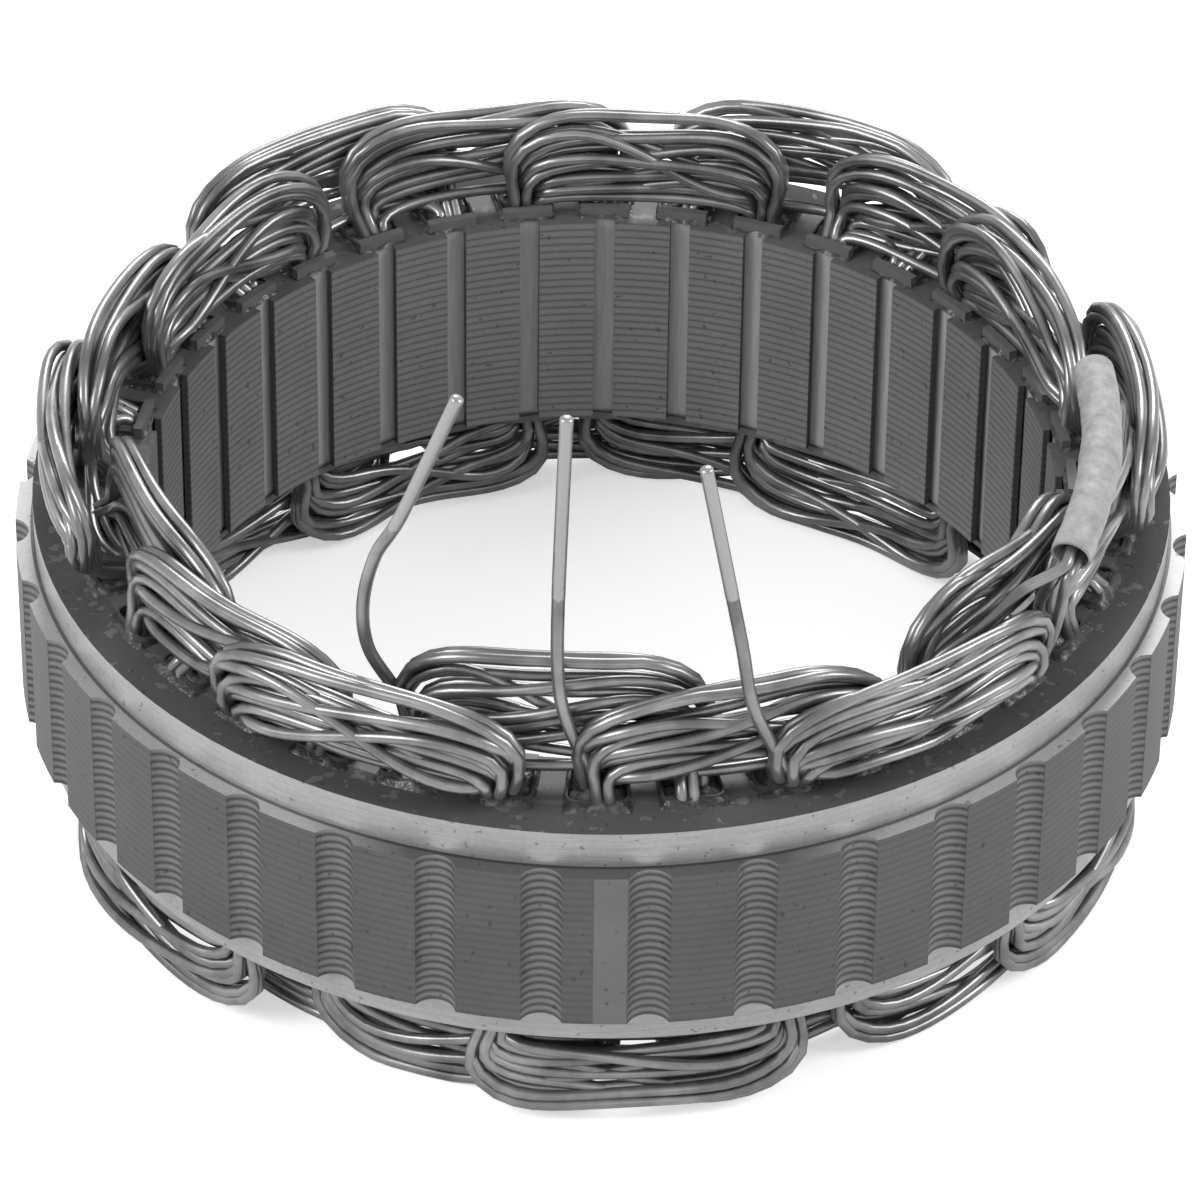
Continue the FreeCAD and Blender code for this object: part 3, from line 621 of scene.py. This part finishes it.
def smoothPath(points, count):
    # Catmull-Rom curve through the points, walked in equal steps
    points = np.asarray(points)
    padded = np.concatenate([[2 * points[0] - points[1]], points, [2 * points[-1] - points[-2]]])
    fineSteps = 30
    t = np.linspace(0, 1, fineSteps, endpoint=False)[None, :, None]
    a, b, c, d = (padded[k:len(padded) - 3 + k, None] for k in range(4))
    curve = 0.5 * (2 * b + (c - a) * t + (2 * a - 5 * b + 4 * c - d) * t ** 2
                   + (3 * b - a - 3 * c + d) * t ** 3)
    curve = np.concatenate([curve.reshape(-1, 3), points[-1:]])
    length = np.concatenate([[0], np.cumsum(np.linalg.norm(np.diff(curve, axis=0), axis=1))])
    steps = np.linspace(0, length[-1], count)
    return np.stack([np.interp(steps, length, curve[:, k]) for k in range(3)], -1)


rod = {
    "leadRadius": 0.74 * mm,
    "enamelShare": 0.97,         # the tin makes the bare end a little thicker
    "leadPoints": 120, "tailPoints": 70,
    "sides": 14,
    "endShares": (0.001, 0.6, 0.9),   # radius of the rings that round off an end
    "endReach": (0.5, 0.4, 0.2),      # their distance past the path's end, in radii
    "merge": 0.002 * mm,
}


def buildRod(name, path, radius, material):
    # Tube with rounded ends: the radius falls to nothing over the first and last rings
    shares = np.array(rod["endShares"])
    past = np.array(rod["endReach"])[:, None]
    taper = np.concatenate([shares, np.ones(len(path)), shares[::-1]])
    head = path[0] - unit(path[1] - path[0]) * radius * past
    tail = path[-1] + unit(path[-1] - path[-2]) * radius * past[::-1]
    whole = np.concatenate([head, path, tail])[None]
    guide = np.array([0.6, 0.8, 0.0])    # level, and no rod runs quite along it
    points = tubePoints(whole, (taper * radius)[None], rod["sides"], guide, False)
    faces = gridFaces(1, whole.shape[1], rod["sides"], False)
    piece = makePiece(name, points.reshape(-1, 3), faces, material)
    work = bmesh.new()
    work.from_mesh(piece.data)
    bmesh.ops.remove_doubles(work, verts=work.verts, dist=rod["merge"])
    bmesh.ops.holes_fill(work, edges=work.edges, sides=rod["sides"])
    work.to_mesh(piece.data)
    work.free()
    piece.data.shade_smooth()
    return piece


bandPitch = 3.3 * mm

# Steps of a route: angle, bands outwards from the wire's own band, share of the rise
leads = {
    "inner": {"rise": 50 * mm, "tinFrom": 0.6, "steps": [
        (-20.6, 0, 0.07), (-23.4, 0.12, 0.17), (-25.9, 0.5, 0.28), (-26.3, 0.6, 0.4),
        (-24.6, 0.7, 0.54), (-21.4, 0.73, 0.67), (-15.2, 0.73, 0.992)]},
    "middle": {"rise": 50 * mm, "tinFrom": 0.5, "steps": [
        (-0.6, 0, 0.07), (-3, 0, 0.18), (-4.2, 0, 0.3), (-4.3, 0.06, 0.52), (-3.6, 0.15, 0.992)]},
    "outer": {"rise": 45 * mm, "tinFrom": 0.6, "steps": [
        (19.5, 0, 0.08), (17.2, 0, 0.19), (15.3, 0, 0.31), (14.2, 0, 0.47), (12.9, 0, 0.64),
        (10.2, -0.12, 0.991)]},
}

# The tails end inside the sleeve, each at its own angle round the sleeve's middle line
tails = {
    "inner": {"turn": 90, "steps": [
        (38.6, 0, 0.24), (40.5, 0.48, 0.5), (45.5, 1.06, 0.7), (50.5, 1.35, 0.86), (54, 2.14, 1)]},
    "middle": {"turn": 210, "steps": [
        (59.4, 0, 0.26), (56.2, 0.06, 0.4), (54.4, 0.3, 0.66), (54, 0.92, 0.98)]},
    "outer": {"turn": 330, "steps": [
        (50.6, 0, 0.27), (53.2, 0, 0.4), (54.2, 0.12, 0.68), (54, 0.35, 1.025)]},
}

# Steps of the sleeve: angle, bands outwards from the middle band, radii above the end turns
sleeve = {
    "radius": 2.4 * mm,
    "wall": 0.45 * mm,
    "inset": 0.1 * mm,           # the yarns waver about a wall this much smaller
    "waver": 0.05 * mm,
    "waverOver": 9,              # rings over which the waver is evened out
    "seed": 5,
    "sides": 48,
    "points": 120,
    "mouthPoints": 40,           # rings of the mouth that lead the tails
    "tailPoints": (0, 12, 24),   # rings that the tails pass through
    "tailSpacing": 0.82 * mm,    # from the middle line to each tail
    "steps": [(56.3, 1, -0.6), (62.3, 0.62, 0.2), (68.8, 0.15, 0.25),
              (75, -0.25, 0.21), (82, -0.65, 0.17), (88.5, -0.9, 0.04)],
}


def routePoints(band, rise, steps):
    # radius = band + bands outwards * pitch, height = stack top + share * rise
    steps = np.array(steps)
    return spot(steps[:, 0], band + steps[:, 1] * bandPitch, stackTop + steps[:, 2] * rise)


def sleevePath():
    # height = the middle phase's end turns + (1 + step) * sleeve radius
    steps = np.array(sleeve["steps"])
    rest = phases["middle"]["rise"] + sleeve["radius"]
    height = stackTop + rest + steps[:, 2] * sleeve["radius"]
    radius = phases["middle"]["band"] + steps[:, 1] * bandPitch
    return smoothPath(spot(steps[:, 0], radius, height), sleeve["points"])


def buildSleeve(material):
    # Outer wall forwards, inner wall back: the ring radius also wavers with the yarns
    path = sleevePath()
    random = np.random.default_rng(sleeve["seed"])
    count = len(path)
    over = sleeve["waverOver"]
    waver = random.normal(0, sleeve["waver"], count + over - 1)
    waver = np.convolve(waver, np.ones(over) / math.sqrt(over), "valid")
    outer = sleeve["radius"] - sleeve["inset"] + waver
    inner = np.full(count, sleeve["radius"] - sleeve["wall"])
    guide = np.array([0.0, 0.0, 1.0])
    forward = tubePoints(path[None], outer[None], sleeve["sides"], guide, False)
    back = tubePoints(path[None], inner[None], sleeve["sides"], guide, False)[:, ::-1]
    points = np.concatenate([forward, back], 1)
    faces = gridFaces(1, 2 * count, sleeve["sides"], True)
    # the pattern's v goes up the outer wall and back down the inner one
    place = np.arange(2 * count)
    along = np.where(place < count, place, 2 * count - 1 - place) / count
    side = np.arange(sleeve["sides"]) / sleeve["sides"]
    ringV = np.stack([along, np.roll(along, -1), np.roll(along, -1), along], -1)
    sideU = np.stack([side, side, side + 1 / sleeve["sides"], side + 1 / sleeve["sides"]], -1)
    uv = np.stack([np.broadcast_to(sideU[None], (2 * count, sleeve["sides"], 4)),
                   np.broadcast_to(ringV[:, None], (2 * count, sleeve["sides"], 4))], -1)
    piece = makePiece("braidedSleeve", points.reshape(-1, 3), faces, material, uv.reshape(-1, 2))
    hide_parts("neutral_sleeve")
    return piece


steelFinish = stackMaterial()
enamelFinish = enamelMaterial()
tinFinish = tinnedMaterial()
wedgeFinish = wedgeMaterial()
linerFinish = linerMaterial()
sleeveFinish = sleeveMaterial()
varnishFinish = varnishMaterial()

solidFinishes = {
    "slot_wedge": wedgeFinish, "slot_liners": linerFinish, "lamination_stack": steelFinish,
    "neutral_joint": tinFinish, "neutral_sleeve": sleeveFinish,
}
for name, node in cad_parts.items():
    solid = "slot_wedge" if name.startswith("slot_wedge") else name
    node.data.materials.clear()
    node.data.materials.append(solidFinishes.get(solid, enamelFinish))
print("stage: solids dressed")


def buildLead(name, band, lead, enamel, tin):
    # One smooth path, cut where the enamel stops and the tin starts
    points = rod["leadPoints"]
    whole = smoothPath(routePoints(band, lead["rise"], lead["steps"]), points)
    split = int(points * lead["tinFrom"])
    buildRod(name + "LeadEnamel", whole[:split + 1], rod["leadRadius"] * rod["enamelShare"], enamel)
    buildRod(name + "LeadTinned", whole[split:], rod["leadRadius"], tin)


def buildTails(material):
    # p = point of the sleeve's middle line + spacing * (cos turn * across + sin turn * over)
    mouth = sleevePath()[:sleeve["mouthPoints"]]
    along = unit(np.gradient(mouth, axis=0))
    across = unit(np.cross(along, [0, 0, 1]))
    over = np.cross(across, along)
    for name, tail in tails.items():
        phase = phases[name]
        turn = math.radians(tail["turn"])
        inside = mouth + (across * math.cos(turn) + over * math.sin(turn)) * sleeve["tailSpacing"]
        route = np.concatenate([routePoints(phase["band"], phase["rise"], tail["steps"]),
                                inside[list(sleeve["tailPoints"])]])
        buildRod(name + "NeutralTail", smoothPath(route, rod["tailPoints"]), wire["radius"], material)


for name, phase in phases.items():
    buildWinding(name + "Winding", phase, enamelFinish)
    buildLead(name, phase["band"], leads[name], enamelFinish, tinFinish)
buildVarnish(varnishFinish)
print("stage: windings and leads wound, slot ends varnished")

buildTails(enamelFinish)
buildSleeve(sleeveFinish)
print("stage: neutral tails and sleeve laid")


paperFloor = {"halfSize": 3.0, "colour": "#e9e9e9", "glow": 0.5}   # the glow is for camera rays


def buildStage():
    half = paperFloor["halfSize"]
    mesh = bpy.data.meshes.new("floor")
    mesh.from_pydata([(-half, -half, 0), (half, -half, 0), (half, half, 0), (-half, half, 0)], [],
                     [(0, 1, 2, 3)])
    floor = bpy.data.objects.new("floor", mesh)
    bpy.context.scene.collection.objects.link(floor)
    material, tree, shader = newMaterial("palePaperFloor")
    shader.inputs["Base Color"].default_value = hexColour(paperFloor["colour"])
    shader.inputs["Roughness"].default_value = 0.9
    shader.inputs["Specular IOR Level"].default_value = 0.1
    seen = addNode(tree, "ShaderNodeLightPath").outputs["Is Camera Ray"]
    glow = addNode(tree, "ShaderNodeMath", {"operation": "MULTIPLY"}, {
        0: seen, 1: paperFloor["glow"]})
    shader.inputs["Emission Color"].default_value = (1, 1, 1, 1)
    tree.links.new(glow.outputs[0], shader.inputs["Emission Strength"])
    mesh.materials.append(material)


studio = {
    "worldLight": 0.78,          # on the object
    "worldSeen": 1.0,            # for camera rays, where 1 is white
    "aimAt": (0, 0, 0.03),
    # softboxes: name, place, size, power
    "boxes": [("leftBox", (-0.75, -0.35, 0.65), 0.45, 6.0),
              ("rightBox", (0.8, -0.15, 0.6), 0.4, 4.4),
              ("frontBox", (0.1, -1.0, 0.45), 0.3, 0.6),
              ("backBox", (0.1, 0.9, 0.7), 0.5, 6.0)],
}


def aimed(direction):
    # The turn that points a lamp's -Z along the direction
    return mathutils.Vector(direction).to_track_quat("-Z", "Y").to_euler()


def buildLights():
    world = bpy.data.worlds.new("studio")
    bpy.context.scene.world = world
    world.use_nodes = True
    tree = world.node_tree
    tree.nodes.clear()
    rays = addNode(tree, "ShaderNodeLightPath").outputs
    strength = addNode(tree, "ShaderNodeMapRange", inputs={
        0: rays["Is Camera Ray"], 3: studio["worldLight"], 4: studio["worldSeen"]}).outputs[0]
    background = addNode(tree, "ShaderNodeBackground", inputs={0: (1, 1, 1, 1), 1: strength})
    addNode(tree, "ShaderNodeOutputWorld", inputs={0: background.outputs[0]})
    for name, place, size, power in studio["boxes"]:
        data = bpy.data.lights.new(name, "AREA")
        data.size = size
        data.energy = power
        lamp = bpy.data.objects.new(name, data)
        lamp.location = place
        lamp.rotation_euler = aimed(np.array(studio["aimAt"]) - np.array(place))
        bpy.context.scene.collection.objects.link(lamp)


# metres from the middle of the stack's underside, millimetres for the lens, degrees for the rest
view = {"distance": 0.7952, "elevation": 37.72, "lookUp": 0.626, "roll": 0.75,
        "lens": 205.8, "sensor": 36, "clipEnd": 20}


def buildCamera():
    data = bpy.data.cameras.new("camera")
    data.sensor_width = view["sensor"]
    data.lens = view["lens"]
    data.clip_end = view["clipEnd"]
    camera = bpy.data.objects.new("camera", data)
    tilt = math.radians(view["elevation"])
    camera.location = (0, -view["distance"] * math.cos(tilt),
                       stackBase + view["distance"] * math.sin(tilt))
    down = math.radians(90 - view["elevation"] + view["lookUp"])
    turn = mathutils.Matrix.Rotation(down, 3, "X") @ mathutils.Matrix.Rotation(
        math.radians(view["roll"]), 3, "Z")
    camera.rotation_euler = turn.to_euler()
    bpy.context.scene.collection.objects.link(camera)
    bpy.context.scene.camera = camera


buildStage()
buildLights()
buildCamera()
bpy.context.scene.view_settings.view_transform = "Standard"
print("stage: studio ready")
